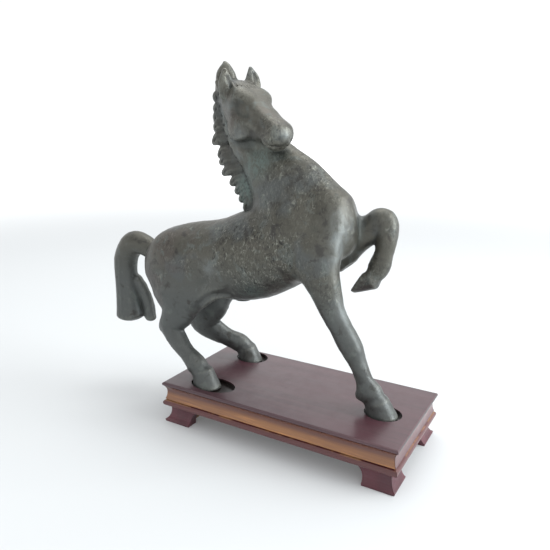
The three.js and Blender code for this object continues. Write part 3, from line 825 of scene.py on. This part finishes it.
def lacquered(name, ground, streak, grain_axis, roughness=0.3, coat=0.7, fade=None, sunk=None, worn_top=None):
    """Lacquered wood with its grain along an axis.

    fade: the two heights between which it turns to another colour, and that colour; on the long cove the
    darker top above the amber is partly painted shade under the panel's edge.
    sunk: how far in from the panel's long edges, in mm, the wood below the panel's top is painted near-black,
    as painted shade inside the sockets.
    worn_top: the height of an upper edge where the lacquer is rubbed through.
    """
    n = material_nodes(name)
    stretch = tuple(0.06 if axis == grain_axis else 1.0 for axis in "XYZ")
    grain = n.noise(420, detail=6, roughness=0.6, stretch=stretch, distortion=0.3)
    bands = n.noise(60, detail=4, roughness=0.55, stretch=stretch, distortion=0.6)
    wear = n.noise(70, detail=5, roughness=0.6)
    colour = n.mix(n.spread(bands, 0.35, 0.65), ground, streak)
    colour = n.mix(n.spread(grain, 0.56, 0.72, 0, 0.45), colour, tuple(c * 0.45 for c in ground))
    if fade is not None:
        low, high, faded = fade
        share = n.times(n.spread(n.axis("Z"), low, high), n.spread(bands, 0.36, 0.6, 0.35, 1))
        pale = tuple(min(1, c * 1.9) for c in faded)
        colour = n.mix(share, colour, n.mix(n.spread(grain, 0.5, 0.68, 0, 0.6), faded, pale))
    if worn_top is not None:
        near_top = n.spread(n.axis("Z"), worn_top - 1.6 * MM, worn_top - 0.5 * MM)
        rubbed = n.times(near_top, n.spread(wear, 0.42, 0.60))
        colour = n.mix(n.times(rubbed, 0.8), colour, (0.34, 0.17, 0.07))
    # Painted shade: the wood below the panel's top, inside the sockets, turned near-black.
    if sunk is not None:
        below = n.spread(n.axis("Z"), panel_high.z - 0.4 * MM, panel_high.z - 1.2 * MM)
        inside = n.math("LESS_THAN", n.math("ABSOLUTE", n.axis("Y")), panel_high.y - sunk * MM)
        colour = n.mix(n.times(below, inside), colour, (0.012, 0.008, 0.007))
    n.set("Base Color", colour)
    n.set("Coat Weight", coat)
    n.set("Coat Roughness", 0.22)
    n.set("Roughness", n.spread(wear, 0.3, 0.7, roughness, roughness + 0.14))
    n.bump([(grain, 0.12, 0.25), (wear, 0.25, 0.08)])
    return n.owner


def bare_wood():
    n = material_nodes("sawn_wood")
    grain = n.noise(300, detail=6, roughness=0.65, stretch=(0.1, 1, 1))
    n.set("Base Color", n.mix(n.spread(grain, 0.35, 0.65), (0.30, 0.19, 0.11), (0.19, 0.11, 0.06)))
    n.set("Roughness", 0.8)
    n.bump([(grain, 0.3, 0.5)])
    return n.owner


def dull_steel():
    n = material_nodes("dull_steel")
    rust = n.noise(900, detail=5, roughness=0.6)
    n.set("Base Color", n.mix(n.spread(rust, 0.5, 0.7), (0.30, 0.28, 0.26), (0.16, 0.08, 0.04)))
    n.set("Roughness", n.spread(rust, 0.5, 0.7, 0.35, 0.75))
    n.set("Metallic", 1.0)
    n.bump([(rust, 0.1, 0.3)])
    return n.owner


# ---- The stand ----

def dress(node, material, edge=0.35):
    """Gives a frame node its material and soft, slightly rounded edges."""
    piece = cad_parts[node]
    piece.data.materials.clear()
    piece.data.materials.append(material)
    bevel = piece.modifiers.new("edges", "BEVEL")
    bevel.width = edge * MM
    bevel.segments = 2
    bevel.limit_method = "ANGLE"
    bevel.angle_limit = math.radians(40)
    bevel.harden_normals = False


def dress_stand():
    cove_low, cove_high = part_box("right_cove")
    red, red_streak = (0.070, 0.014, 0.016), (0.105, 0.026, 0.026)
    # The long cove turns amber lower down; its darker top is partly the wood's tone and partly painted shade
    # under the panel's edge.
    amber = (cove_high.z - 3.5 * MM, cove_low.z + 3.5 * MM, (0.29, 0.120, 0.034))
    rose = (cove_high.z, cove_low.z, (0.082, 0.022, 0.026))
    top = lacquered("top_lacquer", (0.050, 0.017, 0.024), (0.070, 0.024, 0.032), "X", roughness=0.34, sunk=3)
    rail_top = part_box("right_base_rail")[1].z
    rails = {
        axis: lacquered(f"rail_lacquer_{axis.lower()}", red, red_streak, axis, coat=0.45, worn_top=rail_top)
        for axis in "XY"
    }
    coves = {
        "X": lacquered("long_cove_lacquer", (0.095, 0.026, 0.018), (0.14, 0.046, 0.024), "X",
                       roughness=0.28, fade=amber, sunk=4.5),
        "Y": lacquered("short_cove_lacquer", red, red_streak, "Y", roughness=0.28, fade=rose),
    }
    feet = lacquered("foot_lacquer", (0.060, 0.006, 0.015), (0.098, 0.014, 0.026), "Z",
                     roughness=0.4, coat=0.45)
    sawn, steel = bare_wood(), dull_steel()
    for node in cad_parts:
        axis = "X" if node.startswith(("right_", "left_")) else "Y"
        if node == "top_panel":
            dress(node, top)
        elif node.endswith("_cove"):
            dress(node, coves[axis])
        elif node.endswith("_base_rail"):
            dress(node, rails[axis])
        elif "_bracket_" in node:
            dress(node, feet, edge=0.7)
        elif node.endswith(("_brace", "_glue_block")):
            dress(node, sawn)
        elif node.endswith("_screw") or node.startswith("brad_"):
            dress(node, steel, edge=0.15)


# ---- The studio ----

def area_light(name, place, target, size, power, colour):
    lamp = bpy.data.lights.new(name, "AREA")
    lamp.shape = "RECTANGLE"
    lamp.size, lamp.size_y = size
    lamp.energy = power
    lamp.color = colour
    light = bpy.data.objects.new(name, lamp)
    light.location = place
    light.rotation_euler = (Vector(target) - Vector(place)).to_track_quat("-Z", "Y").to_euler()
    bpy.context.scene.collection.objects.link(light)


def floor_paint():
    """A pale cloth that brightens with distance until it meets the backdrop's white."""
    n = material_nodes("pale_floor")
    n.set("Base Color", (0.57, 0.59, 0.60))
    n.set("Roughness", 0.9)
    n.set("Emission Color", (1, 1, 1))
    distance = n.math("LENGTH", n.place, kind="ShaderNodeVectorMath")
    n.set("Emission Strength", n.spread(distance, 0.75, 2.4, 0.09, 1))
    return n.owner


def backdrop():
    """White all around near the horizon, and shaded on one side only higher up."""
    world = bpy.data.worlds.new("studio")
    bpy.context.scene.world = world
    n = Nodes(world, "Background", "Generated")
    lit_side = Vector((0.75, 0.6, 0.25)).normalized()
    toward = n.math("DOT_PRODUCT", n.place, lit_side, kind="ShaderNodeVectorMath")
    shade = n.spread(toward, -0.9, -0.35, -0.82, 0)
    n.set("Strength", n.math("MULTIPLY_ADD", shade, n.spread(n.axis("Z"), 0.22, 0.40), 1.05))
    n.set("Color", (0.98, 0.99, 1))


def studio():
    bpy.context.scene.view_settings.view_transform = "Standard"
    backdrop()
    bpy.ops.mesh.primitive_plane_add(size=60)
    floor = bpy.context.object
    floor.name = "floor"
    floor.data.materials.append(floor_paint())
    area_light("window", (0.95, 0.35, 0.75), (0, 0, 0.13), (0.8, 0.8), 10.0, (0.97, 0.99, 1.0))
    area_light("doorway", (1.1, 0.12, 0.22), (0, 0, 0.17), (0.35, 0.45), 5.0, (0.88, 0.95, 1.0))
    area_light("skylight", (-0.1, 0.35, 1.2), (0, 0, 0.13), (0.9, 0.7), 5.0, (1.0, 0.99, 0.97))


def camera():
    """The photograph's view: right of the horse and a little above."""
    azimuth, elevation, roll = math.radians(30.01), math.radians(14.66), math.radians(0.51)
    back = Vector((math.sin(azimuth) * math.cos(elevation), -math.cos(azimuth) * math.cos(elevation),
                   math.sin(elevation)))
    level = Vector(UP).cross(back).normalized()
    upright = back.cross(level)
    right = math.cos(roll) * level + math.sin(roll) * upright
    up = -math.sin(roll) * level + math.cos(roll) * upright
    distance, aside, above = 0.4663, -0.0181, 0.1245
    place = Vector((stand_middle.x, stand_middle.y, 0)) + right * aside + up * above + back * distance
    lens = bpy.data.cameras.new("camera")
    lens.sensor_width = 36
    lens.lens = 37.13
    lens.clip_start = 0.01
    eye = bpy.data.objects.new("camera", lens)
    eye.matrix_world = Matrix((
        (right.x, up.x, back.x, place.x),
        (right.y, up.y, back.y, place.y),
        (right.z, up.z, back.z, place.z),
        (0, 0, 0, 1)))
    bpy.context.scene.collection.objects.link(eye)
    bpy.context.scene.camera = eye


camera()
studio()
dress_stand()
bronze = patina()
horse_clay = cast_horse(bronze)
core_plug(horse_clay, bronze)
